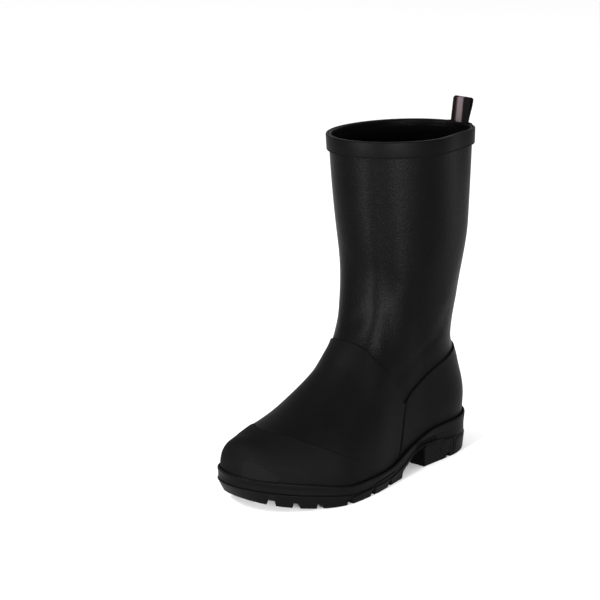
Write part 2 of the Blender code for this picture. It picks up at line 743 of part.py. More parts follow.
everything = [np.array([obj.matrix_world @ v.co for v in obj.data.vertices]) for obj in parts.objects]
low_corner = np.min([p.min(axis=0) for p in everything], axis=0)
high_corner = np.max([p.max(axis=0) for p in everything], axis=0)
shift = Matrix.Translation((-(low_corner[0] + high_corner[0]) / 2, -(low_corner[1] + high_corner[1]) / 2, 0))
for obj in list(parts.objects) + list(cutters.objects):
    obj.matrix_world = shift @ obj.matrix_world
    print(obj.name, "triangles", sum(len(p.vertices) - 2 for p in obj.data.polygons))
print("shift", [round(v, 6) for v in shift.translation])
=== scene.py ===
# %% [markdown]
# # A rubber boot
# One left mid-calf rubber boot stands empty on its sole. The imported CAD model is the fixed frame: it
# gives the sizes, the place and the collision. This lesson dresses it. Each piece of the real boot is
# made again as a dense, smooth surface from the same shape of the last, and gets its own finish.

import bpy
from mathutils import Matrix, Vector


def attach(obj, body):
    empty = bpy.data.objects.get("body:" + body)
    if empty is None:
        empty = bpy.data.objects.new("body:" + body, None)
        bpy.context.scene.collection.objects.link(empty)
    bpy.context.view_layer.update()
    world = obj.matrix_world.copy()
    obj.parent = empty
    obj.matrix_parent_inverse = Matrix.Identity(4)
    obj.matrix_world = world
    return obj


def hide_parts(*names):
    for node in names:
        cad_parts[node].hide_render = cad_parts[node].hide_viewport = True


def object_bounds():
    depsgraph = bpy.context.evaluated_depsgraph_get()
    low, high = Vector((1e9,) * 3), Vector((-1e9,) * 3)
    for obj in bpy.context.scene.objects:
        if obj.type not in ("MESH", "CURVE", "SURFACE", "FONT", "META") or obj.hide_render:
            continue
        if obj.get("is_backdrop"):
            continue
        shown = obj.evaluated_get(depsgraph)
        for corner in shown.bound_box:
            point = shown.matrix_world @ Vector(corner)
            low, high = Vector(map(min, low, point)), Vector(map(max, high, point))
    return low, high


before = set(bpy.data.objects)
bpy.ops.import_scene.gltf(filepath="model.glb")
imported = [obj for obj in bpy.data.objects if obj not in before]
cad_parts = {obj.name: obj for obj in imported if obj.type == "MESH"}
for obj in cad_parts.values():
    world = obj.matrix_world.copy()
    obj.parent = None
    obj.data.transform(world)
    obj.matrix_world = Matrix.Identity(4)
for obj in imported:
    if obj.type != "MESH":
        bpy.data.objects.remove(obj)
cad_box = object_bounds()
print("CAD nodes", sorted(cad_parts))

# %% Modules
import bmesh
from mathutils import Matrix, Vector
import bpy
import numpy as np

# %% [markdown]
# ## Sizes of the last
# A maker starts from a last: a foot form with a length, a ball width and an instep height. All the
# shapes below are worked out from these few sizes, in metres, and from short tables of shares.

# %% Sizes
FOOT = 0.270
HEIGHT = 0.311
BALL = 0.105
INSTEP = 0.108
SIDE = 0.0365
COLLAR = 0.104
SWING = 0.011
SHAFT_TURN = 0.0075
THROAT = 0.051
THROAT_HEIGHT = 0.412
FULLNESS = 2.3
SIDE_BLEND = 0.008
END_CLOSE = 0.06
DENT = 0.17
DENT_PLACE = -0.45
DENT_REACH = 0.42
WALL = 0.0024
GAP = 0.0003
PLATE = 0.0013
CAP = 0.0018
BAND = 0.0022
BAND_HEIGHT = 0.0145
BEAD = 0.0032
WELT = 0.0045
STEP = 0.0007
EDGE = 0.0008
RIM_LUG = 0.0175
TREAD = 0.0045
HOLLOW = 0.0090
HEEL_BLOCK = 0.0735
BALL_BACK = 0.415
BALL_FRONT = 0.74
SPRING = 0.0100
SLOPE = 0.0012
NOTCH = 0.0050
NOTCHES = (0.14, 0.50, 0.60, 0.71, 0.81, 0.88, 0.945)
TREAD_BARS = (0.55, 0.655, 0.76, 0.845)
BAR = 0.0060
TOE_ROCKER = 0.0065
DRAFT = 0.0012
INSOLE = 0.0040
LOOP_WIDTH = 0.0205
MID_X = -0.00015
HEEL_Y = 0.131704
print("heel point at y", HEEL_Y, "toe point at y", round(HEEL_Y - FOOT, 4))

# %% Tables of shares
# foot: share of FOOT, outer and inner half-width (of BALL), ridge height (of INSTEP)
FOOT_TABLE = np.array([
    (0.00, 0.095, 0.095, 0.46),
    (0.08, 0.257, 0.257, 0.69),
    (0.20, 0.319, 0.314, 1.00),
    (0.33, 0.367, 0.324, 1.20),
    (0.45, 0.424, 0.357, 1.24),
    (0.58, 0.500, 0.419, 0.85),
    (0.70, 0.533, 0.467, 0.61),
    (0.82, 0.452, 0.448, 0.41),
    (0.91, 0.343, 0.357, 0.30),
    (0.97, 0.219, 0.233, 0.245),
    (1.00, 0.000, 0.000, 0.11),
])
# top line of the sole's side: share of FOOT, height (of SIDE)
SOLE_TOP = np.array([(0.00, 1.00), (0.20, 0.97), (0.35, 0.74), (0.50, 0.46), (0.68, 0.47), (0.85, 0.685),
                     (1.00, 0.88)])
# line between midsole and outsole
SIDE_LINE = np.array([(0.00, 0.43), (0.10, 0.52), (0.20, 0.62), (0.28, 0.65), (0.33, 0.585), (0.41, 0.35),
                      (0.50, 0.22), (0.62, 0.22), (0.85, 0.41), (1.00, 0.61)])
# lowest line of the sole under the arch
ARCH = np.array([(0.29, 0.52), (0.33, 0.48), (0.37, 0.32), (0.41, 0.16)])
# shaft: share of HEIGHT, back and front (of FOOT), outer and inner half-width (of COLLAR), squareness
SHAFT = np.array([
    (0.11, -0.024, 0.346, 0.341, 0.317, 2.5),
    (0.19, -0.019, 0.359, 0.370, 0.337, 2.4),
    (0.29, 0.013, 0.393, 0.365, 0.356, 2.3),
    (0.385, 0.048, 0.430, 0.380, 0.370, 2.2),
    (0.515, 0.026, 0.465, 0.418, 0.413, 2.2),
    (0.72, -0.011, 0.494, 0.466, 0.471, 2.1),
    (1.00, -0.011, 0.515, 0.495, 0.510, 2.05),
])
# upper edge of the overlays: turn from the toe (share of half a round), height (of HEIGHT)
PLATE_TOP = np.array([(0.00, 0.414), (0.07, 0.410), (0.12, 0.399), (0.18, 0.374), (0.24, 0.345), (0.30, 0.317),
                      (0.38, 0.272), (0.461, 0.226), (0.48, 0.250), (0.51, 0.268), (0.54, 0.285), (0.60, 0.311),
                      (0.68, 0.330), (0.80, 0.338), (1.00, 0.342)])
# rear edge of the toe overlay: turn (share), share of the foot's rise
CAP_EDGE = np.array([(0.00, 0.163), (0.12, 0.163), (0.18, 0.153), (0.25, 0.138), (0.31, 0.112), (0.36, 0.082),
                     (0.39, 0.060)])
COUNTER_TURN = 83
CAP_TURN = 68
LEAN = 15

# %% [markdown]
# ## One function for the whole boot
# A rubber boot is dipped or pressed over a last, so foot and shaft flow into each other. The outer
# face is therefore written as one function: at each place along the foot and each height it gives the
# squared half-width. Foot and shaft are blended with a soft maximum, which makes the fillet at the
# instep, and a ray from the boot's middle finds the face by halving.


# %% Smooth curves through a table
def smooth(x, table, column=1, power=1):
    """Cubic curve through a table's points; slopes are harmonic means of their neighbours'."""
    keys = table[:, 0]
    values = table[:, column] ** power
    run = np.diff(keys)
    rise = np.diff(values) / run
    slope = np.zeros(len(keys))
    both = rise[:-1] * rise[1:] > 0
    after = 2 * run[1:] + run[:-1]
    before = run[1:] + 2 * run[:-1]
    slope[1:-1][both] = (after + before)[both] / (after[both] / rise[:-1][both] + before[both] / rise[1:][both])
    slope[0] = rise[0]
    slope[-1] = rise[-1]
    x = np.clip(x, keys[0], keys[-1])
    i = np.clip(np.searchsorted(keys, x, side="right") - 1, 0, len(run) - 1)
    t = (x - keys[i]) / run[i]
    start = (1 + 2 * t) * (1 - t) ** 2 * values[i] + t * (1 - t) ** 2 * run[i] * slope[i]
    end = t * t * (3 - 2 * t) * values[i + 1] + t * t * (t - 1) * run[i] * slope[i + 1]
    return start + end


def step(x, low, high):
    """Soft step from 0 at low to 1 at high: 3t squared minus 2t cubed."""
    t = np.clip((x - low) / (high - low), 0, 1)
    return t * t * (3 - 2 * t)


# %% The outer face of the boot
def sole_top(s):
    """Height of the sole's top line at distance s from the heel."""
    return SIDE * smooth(s / FOOT, SOLE_TOP)


def middle(s, z):
    """Sideways place of the boot's middle: the toe swings inward, the rim is turned."""
    toe = np.clip(s / FOOT - 0.4, 0, None) / 0.6
    rise = step(z / HEIGHT, 0.45, 1.0)
    centre = 0.5 * (SHAFT[-1, 1] + SHAFT[-1, 2])
    return -SWING * toe ** 2 - SHAFT_TURN * rise * (s / FOOT - centre) / centre - 0.2 * SHAFT_TURN * rise


def half_area(s, z, outer):
    """Squared half-width: foot plan squared less its rounding over the height, joined to the shaft's oval."""
    share = s / FOOT
    plan = (smooth(share, FOOT_TABLE, 1, 2) * outer + smooth(share, FOOT_TABLE, 2, 2) * (1 - outer)) * BALL ** 2
    plan = plan - END_CLOSE * (np.clip(s - FOOT, 0, None) + np.clip(-s, 0, None))
    up = np.clip(z - sole_top(s), 0, None) / (INSTEP * smooth(share, FOOT_TABLE, 3))
    foot = plan - np.clip(plan, 0.000025, None) * up ** FULLNESS
    level = np.clip(z / HEIGHT, SHAFT[0, 0], 1.0)
    back = FOOT * smooth(level, SHAFT, 1)
    front = FOOT * smooth(level, SHAFT, 2)
    along = (s - (back + front) / 2) / ((front - back) / 2)
    wide = COLLAR * (smooth(level, SHAFT, 3) * outer + smooth(level, SHAFT, 4) * (1 - outer))
    high = np.clip(z / HEIGHT - 0.5, 0, 0.5) * 2
    wide = wide * (1 - DENT * outer * high * np.exp(-((along - DENT_PLACE) / DENT_REACH) ** 2))
    shaft = wide ** 2 * (1 - np.abs(along) ** smooth(level, SHAFT, 5))
    soft = THROAT ** 2 * (0.15 + 0.85 / (1 + np.exp(-(share - 0.33) / 0.037)))
    blend = np.clip(0.5 + 0.5 * (foot - shaft) / soft, 0, 1)
    return foot * blend + shaft * (1 - blend) + soft * blend * (1 - blend)


def depth(s, x, z):
    """Squared half-width less squared distance from the middle: positive inside, zero on the face."""
    off = x - middle(s, z)
    return half_area(s, z, 0.5 + 0.5 * np.tanh(off / SIDE_BLEND)) - off ** 2


def skin(turn, rise):
    """Point of the outer face: degrees from the toe, and 0 at the sole, 0.5 at the throat, 1 at the rim."""
    turn = np.radians(turn)
    low = np.clip(rise / 0.5, 0, 1)
    high = np.clip((rise - 0.5) / 0.5, 0, 1)
    throat = THROAT_HEIGHT * HEIGHT
    back = low * (throat - 0.008) + high * (HEIGHT - throat + 0.008)
    front = throat * low ** 0.9 + high * (HEIGHT - throat)
    spine = FOOT * (0.50 - 0.298 * low ** 0.8 + 0.048 * high)
    reach = FOOT * (0.50 - 0.26 * low)
    tilt = (front - back) / (2 * reach)
    ds = reach * np.cos(turn)
    dx = 0.45 * BALL * np.sin(turn)
    near = np.zeros(np.broadcast(turn, rise).shape)
    far = near + 2.4
    for _ in range(34):
        r = (near + far) / 2
        s = spine + r * ds
        z = (back + front) / 2 + r * ds * tilt + (sole_top(s) - BEAD) * (1 - low)
        x = middle(s, z) + r * dx
        inside = depth(s, x, z) > 0
        near = np.where(inside, r, near)
        far = np.where(inside, far, r)
    return s, x, z


def outward(s, x, z):
    """Unit normal of the outer face from central differences of depth."""
    h = 0.0004
    a = depth(s - h, x, z) - depth(s + h, x, z)
    b = depth(s, x - h, z) - depth(s, x + h, z)
    c = depth(s, x, z - h) - depth(s, x, z + h)
    size = np.sqrt(a * a + b * b + c * c)
    return a / size, b / size, c / size


def place(s, x, z):
    """Distance from the heel, side place and height as a point of the frame: X, Y, Z."""
    return np.stack(np.broadcast_arrays(x + MID_X, HEEL_Y - s, z), -1)


check = skin(np.array([0.0, 180.0]), np.array([0.02, 1.0]))
print("toe point and back of the rim, mm", np.round(np.array(check) * 1000, 1).tolist())

# %% [markdown]
# ## Soft folds
# Nobody wears the boot, but rubber keeps some softness. The shaft has a shallow upright trough on its
# outer front, which shows between two soft lights, and it sinks a little above the instep where the
# foot bends. Each is a trough or ridge given in the boot's own sizes: a bell curve across, a
# bell curve along.


# %% Folds of the shaft
def bell(x, centre, width):
    """Bell curve: 1 at the centre, falling off with the square of the distance."""
    return np.exp(-((x - centre) / width) ** 2)


# centre and width in degrees of turn, centre and width in shares of HEIGHT, lean in degrees per share,
# depth in metres
FOLDS = np.array([
    (34, 9, 0.66, 0.30, 0, -0.0009),
    (22, 8, 0.60, 0.25, 0, 0.0004),
    (48, 9, 0.55, 0.22, 0, 0.0005),
    (6, 34, 0.470, 0.034, 30, -0.0006),
    (-34, 30, 0.505, 0.036, -40, -0.0006),
    (34, 26, 0.530, 0.060, 40, 0.0004),
    (-70, 30, 0.43, 0.045, -40, -0.0006),
    (84, 28, 0.40, 0.045, 40, -0.0005),
    (160, 30, 0.425, 0.040, 20, -0.0006),
    (-150, 30, 0.455, 0.036, -20, -0.0006),
    (120, 30, 0.62, 0.10, 40, 0.0007),
    (-110, 34, 0.70, 0.14, 40, -0.0007),
])


def fold(turn, z):
    """Height of all folds: each a bell across the turn times a bell along a leaning height, added up."""
    total = np.zeros(np.broadcast(turn, z).shape)
    for centre, width, level, reach, lean, deep in FOLDS:
        away = (turn - centre + 180) % 360 - 180
        total = total + deep * bell(away, 0, width) * bell(z / HEIGHT - lean * away / 10000, level, reach)
    return total


print("folds", len(FOLDS), "deepest", FOLDS[:, 5].min() * 1000, "mm")

# %% [markdown]
# ## From grids to meshes
# Every piece is a grid of points computed in one go. A grid may be wrapped round in one or both
# directions, which closes a ring or a shell without a seam, and two grids that share a border are
# welded. The points go to Blender as whole arrays.


# %% Grids become meshes
def cells(rows, columns, wrap_rows, wrap_columns, first=0):
    """Four corners of each cell of a grid, counter-clockwise for an outer face with rising rows."""
    j, i = np.meshgrid(np.arange(rows - 1 + wrap_rows), np.arange(columns - 1 + wrap_columns), indexing="ij")
    k = (i + 1) % columns
    m = (j + 1) % rows
    corners = [j * columns + i, j * columns + k, m * columns + k, m * columns + i]
    return np.stack(corners, -1).reshape(-1, 4) + first


def mesh_piece(name, grids, fields=None, weld=0.0):
    """One object from grids of (points, wrap rows, wrap columns, turn over), with point values by name."""
    points = []
    faces = []
    first = 0
    for grid, wrap_rows, wrap_columns, turn_over in grids:
        rows, columns = grid.shape[:2]
        quads = cells(rows, columns, wrap_rows, wrap_columns, first)
        faces.append(quads[:, ::-1] if turn_over else quads)
        points.append(grid.reshape(-1, 3))
        first += rows * columns
    points = np.concatenate(points)
    faces = np.concatenate(faces)
    mesh = bpy.data.meshes.new(name)
    mesh.vertices.add(len(points))
    mesh.vertices.foreach_set("co", points.astype(np.float32).ravel())
    mesh.loops.add(faces.size)
    mesh.loops.foreach_set("vertex_index", faces.astype(np.int32).ravel())
    mesh.polygons.add(len(faces))
    mesh.polygons.foreach_set("loop_start", np.arange(0, faces.size, 4, dtype=np.int32))
    for field, values in (fields or {}).items():
        layer = mesh.attributes.new(field, "FLOAT", "POINT")
        known = np.zeros(len(points), np.float32)
        known[:np.size(values)] = np.ravel(values)
        layer.data.foreach_set("value", known)
    mesh.update(calc_edges=True)
    piece = bpy.data.objects.new(name, mesh)
    bpy.context.scene.collection.objects.link(piece)
    if weld:
        shape = bmesh.new()
        shape.from_mesh(mesh)
        bmesh.ops.remove_doubles(shape, verts=shape.verts, dist=weld)
        bmesh.ops.dissolve_degenerate(shape, dist=weld, edges=shape.edges)
        shape.to_mesh(mesh)
        shape.free()
    mesh.shade_smooth()
    print(name, "faces", len(mesh.polygons), "fields", sorted(fields or {}))
    return piece


def offset_skin(turn, rise, off):
    """The outer face moved out by off along its normal, level at the sole's seat and at the rim."""
    s, x, z = skin(turn, rise)
    a, b, c = outward(s, x, z)
    c = c * np.clip(np.minimum(rise / 0.03, (1 - rise) / 0.05), 0, 1)
    size = np.sqrt(a * a + b * b + c * c)
    return place(s + off * a / size, x + off * b / size, z + off * c / size)


# %% [markdown]
# ## The shaft and its wall
# The rubber is one hollow skin, 2.4 mm thick, open at the collar and underneath. The grid runs up the
# outer face, over a half-round lip and down the inner face, and is wrapped in both directions.

# %% Shaft
TURNS = np.linspace(0, 360, 240, endpoint=False)[None, :]
outer_rise = np.linspace(0, 0.992, 170)[:, None]
inner_rise = np.linspace(0.992, 0, 70)[:, None]
s, x, z = skin(TURNS, outer_rise)
signed = (TURNS + 180) % 360 - 180
outer_face = offset_skin(TURNS, outer_rise, fold(signed, z))
s, x, z = skin(TURNS, inner_rise)
inner_face = offset_skin(TURNS, inner_rise, fold(signed, z) - WALL)
lip = np.radians(np.linspace(0, 180, 9))[:, None]
rim = offset_skin(TURNS, 1.0 + 0 * lip, WALL / 2 * (np.cos(lip) - 1))
rim[:, :, 2] = HEIGHT - WALL / 2 + WALL / 2 * np.sin(lip)
shaft = mesh_piece("shaft", [(np.concatenate([outer_face, rim, inner_face]), True, True, False)])
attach(shaft, "root")
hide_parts("upper")

# %% Lining
lining_rise = np.linspace(0.045, 0.985, 90)[:, None]
s, x, z = skin(TURNS[:, ::2], lining_rise)
folds = fold(signed[:, ::2], z)
lining_out = offset_skin(TURNS[:, ::2], lining_rise, folds - WALL - 0.0001)
lining_in = offset_skin(TURNS[:, ::2], lining_rise[::-1], folds[::-1] - WALL - 0.0009)
lining = mesh_piece("lining", [(np.concatenate([lining_out, lining_in]), True, True, False)])
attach(lining, "root")

# %% [markdown]
# ## Overlays of the foot
# Thicker sheets are laid on the foot before the rubber is cured: one over the instep, one over the
# toes and one round the heel. Each is a closed sheet between two offsets of the same skin. Its edge is
# rolled over by a quarter round, which is worked out from the distance to its border.


# %% Overlay sheets
def top_edge(turn):
    """Rise of the overlays' top edge at each turn, by halving on the skin's height."""
    height = HEIGHT * smooth(np.abs((turn + 180) % 360 - 180) / 180, PLATE_TOP)
    low = np.zeros(np.shape(turn))
    top = low + 1
    for _ in range(26):
        mid = (low + top) / 2
        under = skin(turn, mid)[2] < height
        low = np.where(under, mid, low)
        top = np.where(under, top, mid)
    return (low + top) / 2


def leaned(turn, share):
    """Turn of a point of the overlays: columns near the meeting line lean forward toward the sole."""
    signed = (turn + 180) % 360 - 180
    near = bell(np.abs(signed), COUNTER_TURN, 24)
    return turn + np.sign(signed) * LEAN * near * (1 - share) * (np.abs(signed) < 179)


def crowded(count, length, border):
    """Shares from 0 to 1 with the given border distances at both ends and even steps between."""
    near = np.multiply.outer(np.array(border), 1 / length)
    even = np.linspace(0, 1, count).reshape((-1,) + (1,) * np.ndim(length))
    inside = near[-1] + (1 - 2 * near[-1]) * even
    return np.concatenate([near[:-1], inside, 1 - near[-2::-1]])


ROLL = (0.0, 0.00008, 0.00025, 0.0005, 0.0009)


def overlay(name, start, end, columns, rows, top_share, low, high, roll=0.0009):
    """Closed sheet over turns start to end, up to top_share(turn), between offsets low and high(turn, share)."""
    coarse = np.linspace(start, end, 60)
    rise = top_edge(coarse) * top_share(coarse)
    s, x, z = skin(coarse, rise * 0.5)
    wide = np.sum(np.hypot(np.diff(s), np.diff(x)))
    turn = start + (end - start) * crowded(columns, wide, ROLL)
    edge = top_edge(turn)
    share_top = top_share(turn)
    up = np.linspace(0, 1, 30)[:, None]
    s, x, z = skin(leaned(turn, up * share_top), up * share_top * edge)
    steps = np.diff(np.stack([s, x, z], -1), axis=0)
    tall = np.sum(np.sqrt((steps ** 2).sum(-1)), axis=0)
    v = crowded(rows, tall, ROLL)
    share = v * share_top
    turns = leaned(turn, share)
    rises = share * edge
    from_side = np.minimum(turn - start, end - turn) / (end - start) * wide
    from_edge = np.minimum(from_side, np.minimum(v, 1 - v) * tall)
    t = np.clip(from_edge / roll, 0, 1)
    rolled = np.sqrt(np.clip(1 - (1 - t) ** 2, 0, 1))
    z = skin(turns, rises)[2]
    folds = fold(turns, z)
    outer = offset_skin(turns, rises, folds + low + (high(turn, share) - low) * rolled)
    inner = offset_skin(turns, rises, folds + low + 0 * rolled)
    fields = {"border": np.concatenate([from_edge.ravel(), from_edge.ravel()]),
              "rise": np.concatenate([(v * tall).ravel(), (v * tall).ravel()]),
              "turn": np.concatenate([(turn + 0 * v).ravel(), (turn + 0 * v).ravel()])}
    piece = mesh_piece(name, [(outer, False, False, False), (inner, False, False, True)], fields, 1e-7)
    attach(piece, "root")
    print(name, "mm long", round(wide * 1000), "mm tall at most", round(tall.max() * 1000))
    return piece


SEAM = 0.25
instep_overlay = overlay("instep_overlay", -COUNTER_TURN + SEAM, COUNTER_TURN - SEAM, 150, 100,
                         lambda turn: 1 + 0 * turn, 0.0001, lambda turn, share: GAP + PLATE + 0 * share)
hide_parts("vamp")


def cap_share(turn):
    """Share of the overlays' rise at which the toe overlay ends behind."""
    return smooth(np.abs(turn) / 180, CAP_EDGE) / top_edge(turn)


def cap_high(turn, share):
    """The toe overlay stands half a millimetre over the instep's and fades into it at both sides."""
    return GAP + PLATE + 0.00003 + (CAP - PLATE) * (1 - step(np.abs(turn), 44, 66)) + 0 * share


toe_overlay = overlay("toe_overlay", -CAP_TURN, CAP_TURN, 130, 60,
                      cap_share, GAP + PLATE - 0.0006, cap_high, 0.0012)
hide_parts("toe_cap")
heel_overlay = overlay("heel_overlay", COUNTER_TURN + SEAM, 360 - COUNTER_TURN - SEAM, 170, 70,
                       lambda turn: 1 + 0 * turn, 0.0001, lambda turn, share: GAP + PLATE + 0 * share)
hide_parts("heel_counter")

# %% [markdown]
# ## Collar band
# A strip of rubber is laid round the rim, which makes it stiff. It is a closed profile with rolled
# corners, carried round the skin's own section, and it swells a little over the loop's two legs.

# %% Collar band
LOOP_X = float(skin(np.array([180.0]), np.array([1.0]))[1][0])
WEB = 0.0010


def level_section(turn, z, off):
    """Points of the horizontal section at height z, moved out by off, which swells over the loop's legs."""
    turn = np.radians(turn)
    start = 0.25 * FOOT
    ds = 0.24 * FOOT * np.cos(turn)
    dx = 0.45 * BALL * np.sin(turn)
    near = np.zeros(np.broadcast(turn, z).shape)
    far = near + 2.4
    for _ in range(34):
        r = (near + far) / 2
        inside = depth(start + r * ds, middle(start, z) + r * dx, z) > 0
        near = np.where(inside, r, near)
        far = np.where(inside, far, r)
    s = start + near * ds
    x = middle(start, z) + near * dx
    a, b, c = outward(s, x, z)
    flat = np.sqrt(a * a + b * b)
    side = np.clip((np.abs(x - LOOP_X) - LOOP_WIDTH / 2 - 2 * GAP) / (4 * WEB), 0, 1)
    swell = (2 * WEB + 2 * GAP) * (1 - side * side * (3 - 2 * side)) * (s < start)
    return place(s + (off + swell) * a / flat, x + (off + swell) * b / flat, z)


def rolled_profile(corners, radii, steps=5):
    """Closed profile through (offset, height) corners, each rounded by a quarter arc of its own radius."""
    corners = np.array(corners, float)
    points = []
    for n, radius in enumerate(radii):
        here = corners[n]
        to_last = corners[n - 1] - here
        to_next = corners[(n + 1) % len(corners)] - here
        to_last = to_last / np.linalg.norm(to_last)
        to_next = to_next / np.linalg.norm(to_next)
        t = np.linspace(0, 1, steps)[:, None] if radius else np.zeros((1, 1))
        points.append(here + radius * (to_last * (1 - t) ** 2 + to_next * t ** 2))
    return np.concatenate(points)


low = HEIGHT - BAND_HEIGHT
top = HEIGHT + 0.0002
profile = rolled_profile([(0.0001, low), (GAP + BAND, low), (GAP + BAND, top), (0.0001, top)],
                         [0, 0.0008, 0.0013, 0.0006])
around = np.linspace(0, 360, 420, endpoint=False)[None, :]
ring = level_section(around, np.minimum(profile[:, 1:2], HEIGHT), profile[:, 0:1])
ring[:, :, 2] = profile[:, 1:2]
collar_ring = mesh_piece("collar_ring", [(ring, True, True, False)])
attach(collar_ring, "root")
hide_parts("collar_band")

# %% [markdown]
# ## The sole
# The sole is moulded in one mould with the boot, in two visible steps: an upper side with a rounded
# lip that holds the foot, and a tread with lugs. Both are rings round the foot, at stations that come
# in pairs, one on each side, so that their tops and undersides close straight across.


# %% Sole outline
def lowest(s):
    """Lowest line of the sole: floor at heel and ball, arch between, toe spring in front."""
    share = s / FOOT
    spring = SPRING * np.clip((share - BALL_FRONT) / (1 - BALL_FRONT), 0, 1.2) ** 1.8
    heel = np.clip((s - HEEL_BLOCK) / SLOPE, 0, 1)
    ball = np.clip((BALL_BACK * FOOT - s) / SLOPE, 0, 1)
    return np.where(share < BALL_BACK, SIDE * smooth(share, ARCH) * heel * ball, spring)


def notched(s):
    """1 inside a notch of the sole's edge, 0 on a lug, with short slopes between."""
    inside = np.zeros(np.shape(s))
    for share in NOTCHES:
        inside = np.maximum(inside, step(NOTCH / 2 + SLOPE / 2 - np.abs(s - share * FOOT), 0, SLOPE))
    return inside


def side_line(s):
    """Height of the line between the two steps of the sole."""
    return SIDE * smooth(s / FOOT, SIDE_LINE)


scan = np.linspace(0, 180, 1441)
outer_s = skin(scan, 0 * scan)[0]
inner_s = skin(-scan, 0 * scan)[0]
s_low = max(outer_s[-1], inner_s[-1])
s_high = min(outer_s[0], inner_s[0])


def sole_line(count, extra=()):
    """Outline with its level outward direction: toe, outer side to the heel, inner side forward."""
    ends = 0.5 - 0.5 * np.cos(np.linspace(0, np.pi, count))
    stations = np.unique(np.concatenate([s_low + (s_high - s_low) * ends[1:-1], np.array(extra, float)]))
    outer_turn = np.interp(stations[::-1], outer_s[::-1], scan[::-1])
    inner_turn = -np.interp(stations, inner_s[::-1], scan[::-1])
    turn = np.concatenate([[0.0], outer_turn, [180.0], inner_turn])
    s, x, z = skin(turn, 0 * turn)
    a, b, c = outward(s, x, z)
    flat = np.sqrt(a * a + b * b)
    return s, x, a / flat, b / flat


def across(ring, count):
    """Grid from one side of a ring to the other: straight lines between paired stations."""
    half = len(ring) // 2
    left = ring[:half + 1]
    right = ring[-np.arange(half + 1) % len(ring)]
    t = np.linspace(0, 1, count)[None, :, None]
    return left[:, None, :] * (1 - t) + right[:, None, :] * t


def sole_rings(line, profile):
    """Rings of a profile of offsets and heights; a height is an array or a function of the distance."""
    s, x, a, b = line
    rows = []
    for off, height in profile:
        at = s + off * a
        rows.append(place(at, x + off * b, height(at) if callable(height) else height + 0 * s))
    return np.array(rows)


# Grooves of the sole's side, in millimetres: distance from the heel and height of both ends
GROOVES = np.array([
    (128.0, 11.9, 158.0, 10.8),
    (158.0, 10.8, 160.6, 9.4),
    (160.6, 9.4, 161.4, 1.0),
    (165.5, 9.0, 192.0, 7.0),
    (192.0, 7.0, 196.0, 4.5),
    (31.0, 3.5, 31.6, 16.5),
    (31.6, 16.5, 34.5, 19.2),
    (34.5, 19.2, 46.5, 20.2),
    (46.5, 20.2, 49.6, 18.0),
    (49.6, 18.0, 51.5, 4.5),
    (8.0, 15.5, 27.5, 17.0),
    (27.5, 17.0, 28.2, 4.0),
]) / 1000
GROOVE_WIDE = 0.0013
GROOVE_DEEP = 0.0010


def carve(s, z):
    """Depth cut into the sole's side at (s, z): each groove is a soft channel round a straight line."""
    deep = np.zeros(np.broadcast(s, z).shape)
    for s0, z0, s1, z1 in GROOVES:
        length = (s1 - s0) ** 2 + (z1 - z0) ** 2
        along_of = np.clip(((s - s0) * (s1 - s0) + (z - z0) * (z1 - z0)) / length, 0, 1)
        away = np.hypot(s - s0 - along_of * (s1 - s0), z - z0 - along_of * (z1 - z0))
        deep = np.maximum(deep, GROOVE_DEEP * step(GROOVE_WIDE / 2 - away, -0.00035, 0.00025))
    return deep


GROOVE_PLACES = (0.0312, 0.0506, 0.0279, 0.1610, 0.1940)
groove_edges = [v + w for v in GROOVE_PLACES for w in np.linspace(-0.0013, 0.0013, 9)]

# %% Upper step of the sole
line = sole_line(300, groove_edges)
s = line[0]
top = sole_top(s)
inner = CAP + 3 * GAP
arc = np.radians(np.linspace(0, 90, 5))
lip_in = [(inner + 0.0008 - 0.0008 * np.cos(v), top - 0.0008 + 0.0008 * np.sin(v)) for v in arc]
lip_out = [(WELT - 0.0013 + 0.0013 * np.sin(v), top - 0.0013 + 0.0013 * np.cos(v)) for v in arc]
side = [(WELT - STEP * step(t, 0, 0.55) - carve(s, (top - 0.0018) * (1 - t) + side_line(s) * t),
         lambda at, t=t: (sole_top(at) - 0.0018) * (1 - t) + side_line(at) * t) for t in np.linspace(0.02, 1, 48)]
seat_at = top - BEAD - 0.0006
rows = sole_rings(line, [(-WALL - 2 * GAP, seat_at), (inner, seat_at)] + lip_in + lip_out + side
                  + [(WELT - STEP - 0.006, side_line)])
midsole_side = mesh_piece("midsole_side", [
    (rows, False, True, True),
    (across(rows[0], 3), False, False, False),
    (across(rows[-1], 3), False, False, True),
], None, 1e-7)
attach(midsole_side, "root")
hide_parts("midsole")

# %% Tread
edges = [HEEL_BLOCK + v * SLOPE for v in (-0.3, 0, 0.2, 0.5, 0.8, 1, 1.3)]
edges += [BALL_BACK * FOOT - v * SLOPE for v in (-0.3, 0, 0.2, 0.5, 0.8, 1, 1.3)]
for share in NOTCHES:
    for side_of in (-1, 1):
        edges += [share * FOOT + side_of * (NOTCH / 2 + v * SLOPE) for v in (-0.6, -0.5, -0.25, 0, 0.25, 0.5, 0.6)]
line = sole_line(380, edges + groove_edges)
s = line[0]
top = side_line(s) - GAP
low = lowest(s)
share = s / FOOT
on_heel = np.clip((HEEL_BLOCK + SLOPE - s) / SLOPE, 0, 1)
on_ball = np.clip((share - BALL_BACK) * FOOT / SLOPE + 1, 0, 1)
base = low + np.minimum(HOLLOW * on_heel + TREAD * on_ball + EDGE / 2, 0.7 * (top - low))
foot = low + np.minimum(TREAD, 0.7 * (top - low)) * notched(s)
toe = np.clip((share - BALL_FRONT) / (1 - BALL_FRONT), 0, 1.1) ** 2
draw = DRAFT + (TOE_ROCKER - DRAFT) * toe
height = top - foot
corner = np.minimum(EDGE, 0.2 * height)
rows = [(WELT - STEP - 0.006, lambda at: side_line(at) - GAP),
        (WELT - 0.0012, lambda at: side_line(at) - GAP)]
